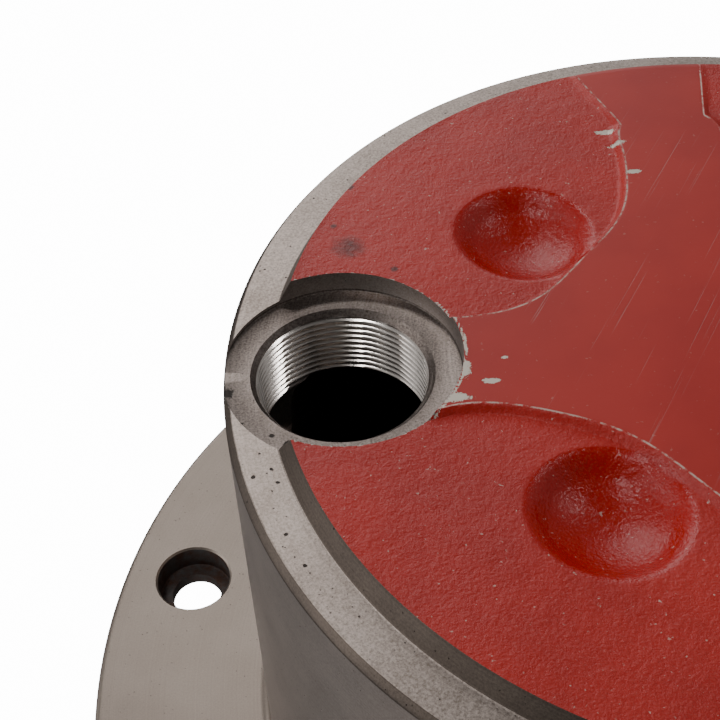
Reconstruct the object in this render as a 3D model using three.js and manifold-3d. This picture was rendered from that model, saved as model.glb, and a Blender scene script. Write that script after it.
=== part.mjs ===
// Four-jaw power chuck with a built-in air cylinder, rear housing upwards.
// Millimetres. z = 0 is the plane of the jaw tips and +Z points to the rear of the chuck.
// Air above the piston holds it down with the jaws open. Air below it pushes it up, and the
// inclined slots of the wedge sleeve then draw the four jaws inwards.
import * as THREE from 'three';
import { mergeVertices } from 'three/addons/utils/BufferGeometryUtils.js';
import Module from 'manifold-3d';

const wasm = await Module();
wasm.setup();

const gap = 0.3; // clearance between neighbouring pieces
const past = 1; // how far a cutter runs beyond the face that it opens
const deg = Math.PI / 180;
const facets = { large: 48, middle: 24, small: 8 }; // sides of round pieces, all multiples of four

// Driving dimensions of the rear housing
const hubRadius = 105;
const flangeRadius = 150;
const flangeBottom = 123;
const flangeThickness = 12;
const hubFillet = 2.5;
const rimChamfer = 1.3;
const register = { radius: 114.4, depth: 1 }; // recess of the flange that locates the chuck body
const ringZ = 250; // machined ring on the rear face
const ringInnerRadius = 96;
const coreRadius = 93.8; // as-cast face inside the ring
const coreHeight = 4.15; // its height above the ring
const landHeight = 0.6; // raised lands between the cast pockets
const cylinderRadius = 94;
const mouthRadius = 86.2; // narrower bore that takes the cylinder cover
const mouthDepth = 25;
const endWallBottom = 232;
const pocketAngle = 49; // first cast pocket, the others follow every quarter turn
const pocket = { distance: 86.5, radius: 49, depth: 0.8 };
const dimple = { distance: 54, radius: 15, depth: 6.5 };

// Threaded air port, M36 x 1.5, with its spot face
const port = { distance: 81.2, radius: 17.1, faceRadius: 24, faceDepth: 1.2, chamfer: 1.4, depth: 28 };

// Flange bolts: twelve M12 cap screws on a 262 mm circle
const flangeBolt = { count: 12, circle: 131, holeRadius: 6.75, headRadius: 10, headDepth: 7.8 };

// Chuck body and its eight screws into the housing
const bodyRadius = 114;
const bodyFront = 46;
const bodyBack = flangeBottom + register.depth - gap;
const frontWall = 12; // between the front face and the wedge chamber
const bodyScrew = {
  circle: 98, radius: 5, headRadius: 8, headHeight: 10, top: 142, sinkRadius: 9, sinkDepth: 11,
};

// Wedge sleeve, piston and strokes
const stroke = 20;
const wedgeSlope = 0.36; // jaw travel for each millimetre of piston travel
const wedge = { radius: 50, bottom: 58.5, top: 102 };
const rodRadius = 17;
const studRadius = 12;
const piston = { bottom: 158, thickness: 30, radius: 93.6 };
const hexagon = { radius: 20, height: 12 }; // nuts of the rod, across corners

// Jaws: half widths and levels of the guides
const guide = {
  neck: 16, head: 24, headBottom: 64.3, headTop: 84, neckInner: 20, headInner: 30, hookOuter: 88,
};
const hook = { bottom: 80, top: 100, radius: 33, thickness: 6, neck: 7, head: 13, middle: 90 };
const jawInner = 62;
const jawOuter = 106;
const masterFront = 42;
const tSlot = { neck: 7, head: 11, headBottom: 50, top: 60 };
const hookBack = 18; // length of the block behind a jaw's hook
const teeNutSpan = [62.5, 101.5];
const jawScrewPlaces = [71, 92.5];

const finishes = {
  castRed: { color: 0xa33f38, roughness: 0.5, metalness: 0.05 },
  castIron: { color: 0x8d8a86, roughness: 0.45, metalness: 0.85 },
  steel: { color: 0xb4b4b2, roughness: 0.32, metalness: 0.95 },
  hardSteel: { color: 0x7d7d7b, roughness: 0.3, metalness: 0.95 },
  blackScrew: { color: 0x2a2a2c, roughness: 0.45, metalness: 0.8 },
  bronze: { color: 0xb08a4a, roughness: 0.35, metalness: 0.95 },
  seal: { color: 0x1b1b1b, roughness: 0.7, metalness: 0 },
  wearTape: { color: 0x4e6b52, roughness: 0.6, metalness: 0 },
};

// Solids and booleans

function solid(geometry) {
  const bare = geometry.clone();
  bare.deleteAttribute('normal');
  bare.deleteAttribute('uv');
  const merged = mergeVertices(bare.index ? bare.toNonIndexed() : bare, 1e-4);
  const source = merged.index.array;
  const place = merged.attributes.position.array;
  const triangles = [];
  let volume = 0;
  for (let i = 0; i < source.length; i += 3) {
    const [a, b, c] = [source[i], source[i + 1], source[i + 2]];
    if (a === b || b === c || c === a) continue;
    triangles.push(a, b, c);
    const [p, q, r] = [a, b, c].map((n) => new THREE.Vector3().fromArray(place, 3 * n));
    volume += p.dot(q.cross(r));
  }
  if (volume < 0) triangles.reverse();
  return new wasm.Manifold(new wasm.Mesh({
    numProp: 3,
    vertProperties: new Float32Array(place),
    triVerts: new Uint32Array(triangles),
  }));
}

function geometryOf(shape) {
  const cut = shape.getMesh();
  const geometry = new THREE.BufferGeometry();
  geometry.setAttribute('position', new THREE.Float32BufferAttribute(cut.vertProperties, 3));
  geometry.setIndex([...cut.triVerts]);
  geometry.computeVertexNormals();
  return geometry;
}

// A turned solid about Z; each point of the profile is [radius, height].
function turned(profile, segments) {
  const points = profile.map(([radius, height]) => new THREE.Vector2(radius, height));
  return solid(new THREE.LatheGeometry(points, segments).rotateX(90 * deg));
}

function bar(x, y, radius, bottom, top, segments) {
  const profile = [[0, bottom], [radius, bottom], [radius, top], [0, top]];
  return turned(profile, segments).translate([x, y, 0]);
}

function ring(inner, outer, bottom, top, segments) {
  return turned([[inner, bottom], [outer, bottom], [outer, top], [inner, top], [inner, bottom]], segments);
}

function block(x0, x1, halfWidth, z0, z1) {
  const box = new THREE.BoxGeometry(x1 - x0, 2 * halfWidth, z1 - z0);
  return solid(box.translate((x0 + x1) / 2, 0, (z0 + z1) / 2));
}

// A plate standing along Y, drawn as an outline in x and z.
function sidePlate(outline, halfWidth) {
  const shape = new THREE.Shape(outline.map(([x, z]) => new THREE.Vector2(x, z)));
  const plate = new THREE.ExtrudeGeometry(shape, { depth: 2 * halfWidth, bevelEnabled: false });
  return solid(plate.rotateX(90 * deg).translate(0, halfWidth, 0));
}

function polar(radius, angle) {
  return [radius * Math.cos(angle * deg), radius * Math.sin(angle * deg)];
}

const quarters = [0, 90, 180, 270];
const chuck = new THREE.Group();

function add(name, shape, finish, parent = chuck) {
  const mesh = new THREE.Mesh(geometryOf(shape), new THREE.MeshStandardMaterial(finishes[finish]));
  mesh.name = name;
  parent.add(mesh);
  return mesh;
}

// Cap screw standing on its head, shank upwards, from z = 0.
function capScrew(radius, headRadius, headHeight, length, segments = facets.small) {
  const top = headHeight + length;
  return turned([[0, 0], [headRadius - 0.6, 0], [headRadius, 0.6], [headRadius, headHeight],
    [radius, headHeight], [radius, top - 1], [radius - 1, top], [0, top]], segments);
}

function addScrew(name, shape, x, y, z, parent = chuck) {
  const screw = add(name, shape, 'blackScrew', parent);
  screw.position.set(x, y, z);
  return screw;
}

// Rear housing: flange, hub and closed rear wall

function rearHousing() {
  const flangeTop = flangeBottom + flangeThickness;
  const coreZ = ringZ + coreHeight;
  const landZ = coreZ + landHeight;
  const floorZ = coreZ - pocket.depth;
  const registerZ = flangeBottom + register.depth;
  let housing = turned([
    [mouthRadius, registerZ], [register.radius, registerZ], [register.radius, flangeBottom],
    [flangeRadius - 1, flangeBottom], [flangeRadius, flangeBottom + 1],
    [flangeRadius, flangeTop - 1], [flangeRadius - 1, flangeTop], [hubRadius + hubFillet, flangeTop],
    [hubRadius + 0.3 * hubFillet, flangeTop + 0.3 * hubFillet], [hubRadius, flangeTop + hubFillet],
    [hubRadius, ringZ - rimChamfer], [hubRadius - rimChamfer, ringZ], [ringInnerRadius, ringZ],
    [coreRadius, coreZ], [coreRadius - 1, landZ], [0, landZ], [0, endWallBottom],
    [cylinderRadius - 4, endWallBottom], [cylinderRadius, endWallBottom - 4],
    [cylinderRadius, flangeBottom + mouthDepth], [mouthRadius, flangeBottom + mouthDepth],
    [mouthRadius, registerZ],
  ], facets.large);

  for (const turn of quarters) {
    const angle = pocketAngle + turn;
    const [px, py] = polar(pocket.distance, angle);
    housing = housing.subtract(bar(px, py, pocket.radius, floorZ, landZ + past, facets.middle));
    const [dx, dy] = polar(dimple.distance, angle);
    const ball = (dimple.radius ** 2 + dimple.depth ** 2) / (2 * dimple.depth);
    const bowl = new THREE.SphereGeometry(ball, 16, 12);
    housing = housing.subtract(solid(bowl.translate(dx, dy, floorZ + ball - dimple.depth)));
  }

  const faceZ = ringZ - port.faceDepth;
  const threadTop = port.radius + port.chamfer;
  const portCut = turned([[0, faceZ - port.depth], [port.radius, faceZ - port.depth],
    [port.radius, faceZ - port.chamfer], [threadTop, faceZ], [port.faceRadius, faceZ],
    [port.faceRadius, landZ + past], [0, landZ + past]], facets.middle);
  housing = housing.subtract(portCut.translate([-port.distance, 0, 0]));

  for (let i = 0; i < flangeBolt.count; i++) {
    const [x, y] = polar(flangeBolt.circle, (i + 0.5) * 360 / flangeBolt.count);
    const seat = flangeTop - flangeBolt.headDepth;
    const hole = turned([[0, flangeBottom - past], [flangeBolt.holeRadius, flangeBottom - past],
      [flangeBolt.holeRadius, seat], [flangeBolt.headRadius, seat],
      [flangeBolt.headRadius, flangeTop + past], [0, flangeTop + past]], facets.small);
    housing = housing.subtract(hole.translate([x, y, 0]));
  }

  for (const angle of bodyScrewAngles()) {
    const [x, y] = polar(bodyScrew.circle, angle);
    housing = housing.subtract(bar(x, y, bodyScrew.radius + gap, flangeBottom - past,
      bodyScrew.top + 2, facets.small));
  }

  const sideHole = bar(0, 0, sidePlug.radius + gap, cylinderRadius - 6, hubRadius + past, facets.small);
  const sideFace = bar(0, 0, sidePlug.faceRadius, hubRadius - sidePlug.faceDepth, hubRadius + past,
    facets.middle);
  return housing.subtract(sideHole.add(sideFace).rotate([0, 90, 0]).translate([0, 0, sidePlug.z]));
}

const sidePlug = {
  z: 153, radius: 6.5, faceRadius: 12, faceDepth: 2, hexRadius: 9.8, hexHeight: 7, washerRadius: 10.5,
};

function bodyScrewAngles() {
  return quarters.flatMap((turn) => [turn + 30, turn + 60]);
}

add('rear_housing', rearHousing(), 'castRed');

// Front air port of the cylinder, closed with a hexagon plug on a sealing washer

const plugSeat = hubRadius - sidePlug.faceDepth + gap;
const washerThickness = 1.5;
const plugHead = plugSeat + washerThickness + gap;
const sideWasher = ring(sidePlug.radius + gap, sidePlug.washerRadius, plugSeat,
  plugSeat + washerThickness, facets.small);
const plugShank = bar(0, 0, sidePlug.radius, cylinderRadius + 1.5, plugHead + past, facets.small);
const plugHex = bar(0, 0, sidePlug.hexRadius, plugHead, plugHead + sidePlug.hexHeight, 6);
const toSide = (shape) => shape.rotate([0, 90, 0]).translate([0, 0, sidePlug.z]);
add('side_port_washer', toSide(sideWasher), 'bronze');
add('side_port_plug', toSide(plugShank.add(plugHex)), 'steel');

// Cylinder cover with its rod bushing and seals

const cover = { radius: 85.9, bottom: flangeBottom + register.depth, top: 147.6 };
const bushing = { outer: 21, bottom: 126, top: 139 };
const rodSeal = { outer: 23, bottom: 139.3, top: 144 };
const coverScrew = {
  circle: 68, radius: 4, headRadius: 6.5, headHeight: 8, length: 36, seat: 139, holeBottom: 102,
};
const coverGroove = { inner: 81.5, bottom: 132, top: 138 };
const oRing = { middle: 84, thickness: 4.4, flat: 2 }; // drawn with six sides

let cylinderCover = turned([
  [rodRadius + gap, cover.bottom], [cover.radius, cover.bottom], [cover.radius, coverGroove.bottom],
  [coverGroove.inner, coverGroove.bottom], [coverGroove.inner, coverGroove.top],
  [cover.radius, coverGroove.top], [cover.radius, cover.top - 1], [cover.radius - 1, cover.top],
  [rodRadius + gap, cover.top], [rodRadius + gap, rodSeal.top + gap],
  [rodSeal.outer + gap, rodSeal.top + gap], [rodSeal.outer + gap, bushing.top],
  [bushing.outer + gap, bushing.top], [bushing.outer + gap, bushing.bottom - gap],
  [rodRadius + gap, bushing.bottom - gap], [rodRadius + gap, cover.bottom],
], facets.large);
for (const turn of quarters) {
  const [x, y] = polar(coverScrew.circle, 45 + turn);
  cylinderCover = cylinderCover.subtract(bar(x, y, coverScrew.radius + gap, cover.bottom - past, cover.top,
    facets.small));
  cylinderCover = cylinderCover.subtract(bar(x, y, coverScrew.headRadius + gap, coverScrew.seat,
    cover.top + past, facets.small));
}
add('cylinder_cover', cylinderCover, 'castIron');
add('rod_bushing', ring(rodRadius + gap, bushing.outer, bushing.bottom, bushing.top - gap, facets.middle),
  'bronze');
add('rod_seal', ring(rodRadius + gap, rodSeal.outer, rodSeal.bottom, rodSeal.top, facets.middle), 'seal');
const oRingZ = (coverGroove.bottom + coverGroove.top) / 2;
const [flatHalf, fullHalf] = [oRing.flat / 2, oRing.thickness / 2];
add('cover_o_ring', turned([[coverGroove.inner + gap, oRingZ - flatHalf], [oRing.middle, oRingZ - fullHalf],
  [cover.radius, oRingZ - flatHalf], [cover.radius, oRingZ + flatHalf], [oRing.middle, oRingZ + fullHalf],
  [coverGroove.inner + gap, oRingZ + flatHalf], [coverGroove.inner + gap, oRingZ - flatHalf]],
  facets.large), 'seal');

quarters.forEach((turn, i) => {
  const [x, y] = polar(coverScrew.circle, 45 + turn);
  const shape = capScrew(coverScrew.radius, coverScrew.headRadius, coverScrew.headHeight, coverScrew.length);
  const screw = addScrew(`cylinder_cover_screw_${i + 1}`, shape, x, y,
    coverScrew.seat + gap + coverScrew.headHeight);
  screw.rotation.x = 180 * deg;
});

// Chuck body with four T guides

const frontCover = { radius: 36, thickness: 4.7, recess: 5, screwCircle: 29, ledgeRadius: 24 };
const frontScrew = { radius: 2.5, headRadius: 4.25, headHeight: 2.8, length: 9, sinkDepth: 3.2 };

function chuckBody() {
  const front = bodyFront - past;
  const back = bodyBack + past;
  const chamber = bodyFront + frontWall;
  let body = turned([[0, bodyFront], [bodyRadius - 1.5, bodyFront], [bodyRadius, bodyFront + 1.5],
    [bodyRadius, bodyBack - 1], [bodyRadius - 1, bodyBack], [0, bodyBack]], facets.large);
  body = body.subtract(bar(0, 0, wedge.radius + 1, chamber, back, facets.large));
  body = body.subtract(bar(0, 0, frontCover.ledgeRadius, front, chamber + past, facets.middle));
  body = body.subtract(bar(0, 0, frontCover.radius + gap, front, bodyFront + frontCover.recess,
    facets.middle));
  for (const turn of quarters) {
    const outside = bodyRadius + past;
    const slot = block(guide.neckInner, outside, guide.neck + gap, front, guide.headBottom + past)
      .add(block(guide.headInner, outside, guide.head + gap, guide.headBottom - gap, guide.headTop + gap))
      .add(block(guide.headInner, guide.hookOuter, guide.neck + gap, guide.headTop - past, hook.top + gap));
    body = body.subtract(slot.rotate([0, 0, turn]));
    const [sx, sy] = polar(coverScrew.circle, 45 + turn);
    body = body.subtract(bar(sx, sy, coverScrew.radius + gap, coverScrew.holeBottom, back, facets.small));
    const [fx, fy] = polar(frontCover.screwCircle, 45 + turn);
    body = body.subtract(bar(fx, fy, frontScrew.radius + gap, bodyFront, chamber + past, facets.small));
  }
  for (const angle of bodyScrewAngles()) {
    const [x, y] = polar(bodyScrew.circle, angle);
    body = body.subtract(bar(x, y, bodyScrew.radius + gap, front, back, facets.small));
    body = body.subtract(bar(x, y, bodyScrew.sinkRadius, front, bodyFront + bodyScrew.sinkDepth,
      facets.small));
  }
  return body;
}

add('chuck_body', chuckBody(), 'castIron');

bodyScrewAngles().forEach((angle, i) => {
  const [x, y] = polar(bodyScrew.circle, angle);
  const seat = bodyFront + bodyScrew.sinkDepth - gap;
  const shape = capScrew(bodyScrew.radius, bodyScrew.headRadius, bodyScrew.headHeight, bodyScrew.top - seat);
  addScrew(`body_screw_${i + 1}`, shape, x, y, seat - bodyScrew.headHeight);
});

// Front cover over the wedge, with four low cap screws

let coverPlate = bar(0, 0, frontCover.radius, bodyFront, bodyFront + frontCover.thickness, facets.middle);
quarters.forEach((turn, i) => {
  const [x, y] = polar(frontCover.screwCircle, 45 + turn);
  coverPlate = coverPlate
    .subtract(bar(x, y, frontScrew.radius + gap, bodyFront - past, bodyFront + frontCover.recess + past,
      facets.small))
    .subtract(bar(x, y, frontScrew.headRadius + gap, bodyFront - past, bodyFront + frontScrew.sinkDepth,
      facets.small));
  const shape = capScrew(frontScrew.radius, frontScrew.headRadius, frontScrew.headHeight, frontScrew.length);
  addScrew(`front_cover_screw_${i + 1}`, shape, x, y, bodyFront + 0.1);
});
add('front_cover', coverPlate, 'steel');

// Piston group: piston, rod, wedge sleeve, nuts and rings

const pistonTop = piston.bottom + piston.thickness;
const sealGroove = { inner: 88, bottom: piston.bottom + 6, top: piston.bottom + 13 };
const wearGroove = { inner: 90.5, bottom: piston.bottom + 17, top: piston.bottom + 25 };
add('piston', turned([
  [studRadius + gap, piston.bottom], [piston.radius - 1.5, piston.bottom],
  [piston.radius, piston.bottom + 1.5],
  [piston.radius, sealGroove.bottom], [sealGroove.inner, sealGroove.bottom],
  [sealGroove.inner, sealGroove.top], [piston.radius, sealGroove.top],
  [piston.radius, wearGroove.bottom], [wearGroove.inner, wearGroove.bottom],
  [wearGroove.inner, wearGroove.top], [piston.radius, wearGroove.top],
  [piston.radius, pistonTop - 1.5], [piston.radius - 1.5, pistonTop],
  [studRadius + gap, pistonTop], [studRadius + gap, piston.bottom],
], facets.large), 'castIron');
add('piston_seal', ring(sealGroove.inner + gap, piston.radius + 0.1, sealGroove.bottom + gap,
  sealGroove.top - gap, facets.large), 'seal');
add('piston_wear_ring', ring(wearGroove.inner + gap, piston.radius + 0.1, wearGroove.bottom + gap,
  wearGroove.top - gap, facets.large), 'wearTape');

const wedgeNutBottom = wedge.bottom + 1;
add('piston_rod', turned([
  [0, wedgeNutBottom], [studRadius - 1.5, wedgeNutBottom], [studRadius, wedgeNutBottom + 1.5],
  [studRadius, wedge.top + gap], [rodRadius, wedge.top + gap], [rodRadius, piston.bottom - gap],
  [studRadius, piston.bottom - gap], [studRadius, pistonTop + hexagon.height + 1.5],
  [studRadius - 1.5, pistonTop + hexagon.height + 3], [0, pistonTop + hexagon.height + 3],
], facets.middle), 'steel');

function hexNut(bottom) {
  const top = bottom + hexagon.height;
  const threads = bar(0, 0, studRadius + gap, bottom - past, top + past, facets.middle);
  return bar(0, 0, hexagon.radius, bottom, top, 6).subtract(threads);
}

add('rod_nut', hexNut(pistonTop + gap), 'steel');
add('wedge_nut', hexNut(wedgeNutBottom), 'steel');

// Outline of a jaw hook or of its slot, leaning outwards as it rises.
function leaning(inner, outer, z0, z1, grow = 0) {
  const lean = (x, z) => x + wedgeSlope * (z - hook.middle);
  const far = (z) => (outer === null ? jawInner + 8 : lean(outer, z) + grow);
  return [[lean(inner, z0) - grow, z0], [far(z0), z0], [far(z1), z1], [lean(inner, z1) - grow, z1]];
}

const hookOuter = hook.radius + hook.thickness;

let wedgeSleeve = bar(0, 0, wedge.radius, wedge.bottom, wedge.top, facets.large)
  .subtract(bar(0, 0, studRadius + gap, wedge.bottom - past, wedge.top + past, facets.middle))
  .subtract(bar(0, 0, hexagon.radius + gap, wedge.bottom - past, wedgeNutBottom + hexagon.height + gap,
    facets.middle));
for (const turn of quarters) {
  const head = sidePlate(leaning(hook.radius, hookOuter, wedge.bottom - past, wedge.top + past, gap),
    hook.head + gap);
  const neck = sidePlate(leaning(hookOuter - past, null, wedge.bottom - past, wedge.top + past),
    hook.neck + gap);
  wedgeSleeve = wedgeSleeve.subtract(head.add(neck).rotate([0, 0, turn]));
}
add('wedge_sleeve', wedgeSleeve, 'hardSteel');

// Jaw sets, modelled along +X and turned into their places

function masterJaw() {
  const [inner, outer] = [jawInner - past, jawOuter + past];
  const slotCut = block(inner, outer, tSlot.neck, masterFront - past, tSlot.top - past)
    .add(block(inner, outer, tSlot.head, tSlot.headBottom, tSlot.top));
  const hookHead = sidePlate(leaning(hook.radius, hookOuter, hook.bottom, hook.top), hook.head);
  const hookNeck = sidePlate(leaning(hookOuter - past, null, hook.bottom, hook.top), hook.neck);
  return block(jawInner, jawOuter, guide.neck, masterFront, guide.headBottom + past)
    .add(block(jawInner, jawOuter, guide.head, guide.headBottom, guide.headTop - gap))
    .add(block(jawInner, jawInner + hookBack, guide.neck, guide.headTop - past, hook.top))
    .subtract(slotCut)
    .add(hookHead)
    .add(hookNeck);
}

// Stepped hard jaw: gripping nose towards the centre, tallest step outside.
const topJaw = {
  inner: 44, outer: 104, halfWidth: 19, back: masterFront - gap, nose: 9, noseLength: 9, chamfer: 2,
};
const jawSteps = [{ x: 61, z: 24 }, { x: 81.5, z: 12 }];
const screwHead = { radius: 8.6, height: 12, seat: 28, shank: 6, length: 29, sinkRadius: 9.2 };

function steppedJaw() {
  const [first, second] = jawSteps;
  const side = sidePlate([[topJaw.inner, first.z], [first.x, first.z], [first.x, second.z],
    [second.x, second.z], [second.x, 0], [topJaw.outer - topJaw.chamfer, 0], [topJaw.outer, topJaw.chamfer],
    [topJaw.outer, topJaw.back], [topJaw.inner, topJaw.back]], topJaw.halfWidth);
  const [shoulder, outside] = [topJaw.inner + topJaw.noseLength, topJaw.outer + past];
  const plan = new THREE.Shape([[topJaw.inner, -topJaw.nose], [shoulder, -topJaw.halfWidth],
    [outside, -topJaw.halfWidth], [outside, topJaw.halfWidth],
    [shoulder, topJaw.halfWidth], [topJaw.inner, topJaw.nose]]
    .map(([x, y]) => new THREE.Vector2(x, y)));
  const nose = solid(new THREE.ExtrudeGeometry(plan, { depth: topJaw.back + 2 * past, bevelEnabled: false })
    .translate(0, 0, -past));
  let jaw = side.intersect(nose);
  for (const x of jawScrewPlaces) {
    jaw = jaw.subtract(bar(x, 0, screwHead.sinkRadius, -past, screwHead.seat, facets.middle))
      .subtract(bar(x, 0, screwHead.shank + gap, 0, topJaw.back + past, facets.small));
  }
  return jaw;
}

function teeNut() {
  const [inner, outer] = teeNutSpan;
  let nut = block(inner, outer, tSlot.neck - gap, masterFront + gap, tSlot.top - past)
    .add(block(inner, outer, tSlot.head - gap, tSlot.headBottom + gap, tSlot.top - gap));
  for (const x of jawScrewPlaces) {
    nut = nut.subtract(bar(x, 0, screwHead.shank + gap, masterFront - past, tSlot.top + past, facets.small));
  }
  return nut;
}

const masterShape = masterJaw();
const topShape = steppedJaw();
const nutShape = teeNut();
quarters.forEach((turn, i) => {
  const set = new THREE.Group();
  set.rotation.z = turn * deg;
  chuck.add(set);
  const number = i + 1;
  add(`master_jaw_${number}`, masterShape, 'hardSteel', set);
  add(`top_jaw_${number}`, topShape, 'hardSteel', set);
  add(`tee_nut_${number}`, nutShape, 'hardSteel', set);
  jawScrewPlaces.forEach((x, n) => {
    const shape = capScrew(screwHead.shank, screwHead.radius, screwHead.height, screwHead.length);
    const name = `jaw_screw_${number}${n === 0 ? 'a' : 'b'}`;
    addScrew(name, shape, x, 0, screwHead.seat - gap - screwHead.height, set);
  });
});

// The rod group stays clear of the end wall at the end of its stroke.
if (pistonTop + hexagon.height + 3 + stroke > endWallBottom) throw new Error('stroke is too long');

export default chuck;
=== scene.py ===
# Four-jaw power chuck seen from behind: painted cast housing, threaded air port, jaws underneath.
# Lengths are in millimetres until a mesh is made; the frame and Blender itself are in metres.
import math

import bpy
import bmesh
import numpy as np
from mathutils import Matrix, Vector


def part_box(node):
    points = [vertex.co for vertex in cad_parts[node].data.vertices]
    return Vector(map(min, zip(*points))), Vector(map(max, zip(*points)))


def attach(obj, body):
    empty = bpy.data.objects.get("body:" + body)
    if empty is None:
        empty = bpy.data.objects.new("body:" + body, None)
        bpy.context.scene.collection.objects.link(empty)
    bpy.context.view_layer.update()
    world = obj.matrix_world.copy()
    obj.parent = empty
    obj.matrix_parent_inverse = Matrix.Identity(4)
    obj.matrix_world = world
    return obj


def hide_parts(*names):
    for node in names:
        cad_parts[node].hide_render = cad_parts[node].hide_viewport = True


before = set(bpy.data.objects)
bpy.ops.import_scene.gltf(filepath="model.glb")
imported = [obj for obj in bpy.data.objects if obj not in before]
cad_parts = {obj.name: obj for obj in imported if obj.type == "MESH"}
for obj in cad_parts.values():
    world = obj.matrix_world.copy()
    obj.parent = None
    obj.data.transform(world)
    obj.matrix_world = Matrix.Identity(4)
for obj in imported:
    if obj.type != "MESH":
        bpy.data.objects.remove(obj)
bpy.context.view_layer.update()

mm = 0.001


def nodeBox(node):
    low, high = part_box(node)
    return np.array(low) / mm, np.array(high) / mm


quarters = (0, 90, 180, 270)


# Mesh helpers

def meshObject(name, points, faces):
    mesh = bpy.data.meshes.new(name)
    mesh.from_pydata((np.asarray(points, float) * mm).tolist(), [], faces)
    mesh.update()
    piece = bpy.data.objects.new(name, mesh)
    bpy.context.scene.collection.objects.link(piece)
    return piece


def outwards(points, faces):
    # flips every face if the closed mesh has its faces pointing in
    volume = 0.0
    points = np.asarray(points, float)
    for count in (3, 4):
        same = np.array([f for f in faces if len(f) == count], int)
        if not len(same):
            continue
        a, b, c = points[same[:, 0]], points[same[:, 1]], points[same[:, 2]]
        volume += np.einsum("ij,ij->i", a, np.cross(b, c)).sum()
        if count == 4:
            d = points[same[:, 3]]
            volume += np.einsum("ij,ij->i", a, np.cross(c, d)).sum()
    return [tuple(reversed(f)) for f in faces] if volume < 0 else faces


def revolve(rings, sides, at=(0.0, 0.0), closed=False):
    # each ring is (radius, height); either may be an array with one value for each side
    angles = np.arange(sides) * 2 * math.pi / sides
    points, starts, counts = [], [], []
    total = 0
    for radius, height in rings:
        onAxis = np.ndim(radius) == 0 and radius == 0
        count = 1 if onAxis else sides
        turn = angles[:count]
        r = np.broadcast_to(radius, count)
        z = np.broadcast_to(height, count)
        points.append(np.stack([at[0] + r * np.cos(turn), at[1] + r * np.sin(turn), z], 1))
        starts.append(total)
        counts.append(count)
        total += count
    faces = []
    last = len(rings) if closed else len(rings) - 1
    step = np.arange(sides)
    after = (step + 1) % sides
    for i in range(last):
        j = (i + 1) % len(rings)
        a, b = starts[i], starts[j]
        if counts[i] == 1 and counts[j] == 1:
            continue
        if counts[i] == 1:
            faces += list(zip([a] * sides, (b + step).tolist(), (b + after).tolist()))
        elif counts[j] == 1:
            faces += list(zip((a + step).tolist(), [b] * sides, (a + after).tolist()))
        else:
            faces += list(zip((a + step).tolist(), (b + step).tolist(),
                              (b + after).tolist(), (a + after).tolist()))
    points = np.concatenate(points)
    return points, outwards(points, faces)


def together(shapes):
    points, faces, total = [], [], 0
    for p, f in shapes:
        points.append(p)
        faces += [tuple(n + total for n in face) for face in f]
        total += len(p)
    return np.concatenate(points), faces


def plate(outline, low, high):
    # an upright prism on an outline of (x, y) points
    count = len(outline)
    points = np.array([(x, y, z) for z in (low, high) for x, y in outline], float)
    faces = [tuple(range(count))[::-1], tuple(range(count, 2 * count))]
    faces += [(i, (i + 1) % count, count + (i + 1) % count, count + i) for i in range(count)]
    area = sum(a[0] * b[1] - b[0] * a[1] for a, b in zip(outline, outline[1:] + outline[:1]))
    return points, faces if area > 0 else [tuple(reversed(face)) for face in faces]


def sidePlate(outline, halfWidth):
    # a plate standing along Y, on an outline of (x, z) points
    points, faces = plate(outline, -halfWidth, halfWidth)
    return points[:, [0, 2, 1]] * (1, -1, 1), faces


def block(x0, x1, halfWidth, z0, z1):
    return plate([(x0, -halfWidth), (x1, -halfWidth), (x1, halfWidth), (x0, halfWidth)], z0, z1)


def moved(shape, x=0.0, y=0.0, z=0.0, turn=0.0):
    matrix = Matrix.Translation((x, y, z)) @ Matrix.Rotation(math.radians(turn), 4, "Z")
    return turnedAbout(shape, matrix)


def threadRings(low, depth, pitch, bottom, top, sides, steps=12):
    # rings of a real helical thread, whose crest turns with the height
    turn = np.arange(sides) / sides
    for z in np.arange(bottom, top, pitch / steps):
        phase = (z / pitch - turn) % 1
        groove = np.clip((1 - np.abs(2 * phase - 1) - 0.16) / 0.7, 0, 1)
        yield low + depth * groove, z


def turnedAbout(shape, matrix):
    points, faces = shape
    return points @ np.array(matrix.to_3x3()).T + np.array(matrix.translation), faces


def baked(piece):
    # puts the result of the modifiers into the mesh
    shown = bpy.context.evaluated_depsgraph_get()
    mesh = bpy.data.meshes.new_from_object(piece.evaluated_get(shown))
    piece.modifiers.clear()
    old = piece.data
    piece.data = mesh
    bpy.data.meshes.remove(old)
    return piece


def combine(piece, shape, operation="DIFFERENCE"):
    tool = meshObject("tool", *shape)
    change = piece.modifiers.new("change", "BOOLEAN")
    change.operation = operation
    change.solver = "EXACT"
    change.object = tool
    baked(piece)
    bpy.data.objects.remove(tool)
    return piece


def softened(piece, width, steps=2, angle=35):
    bevel = piece.modifiers.new("edges", "BEVEL")
    bevel.width = width * mm
    bevel.segments = steps
    bevel.limit_method = "ANGLE"
    bevel.angle_limit = math.radians(angle)
    return baked(piece)


def shaded(piece, sharp=32):
    piece.data.polygons.foreach_set("use_smooth", [True] * len(piece.data.polygons))
    piece.data.set_sharp_from_angle(angle=math.radians(sharp))
    return piece


def placed(piece, body, slot, *nodes):
    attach(piece, body)
    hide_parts(*nodes)
    return piece


# Materials. Colours are sRGB hex values, and every pattern has its size in millimetres.

def linear(hexColour):
    channels = [int(hexColour[i:i + 2], 16) / 255 for i in (1, 3, 5)]
    return tuple(c / 12.92 if c <= 0.04045 else ((c + 0.055) / 1.055) ** 2.4 for c in channels) + (1.0,)


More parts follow.
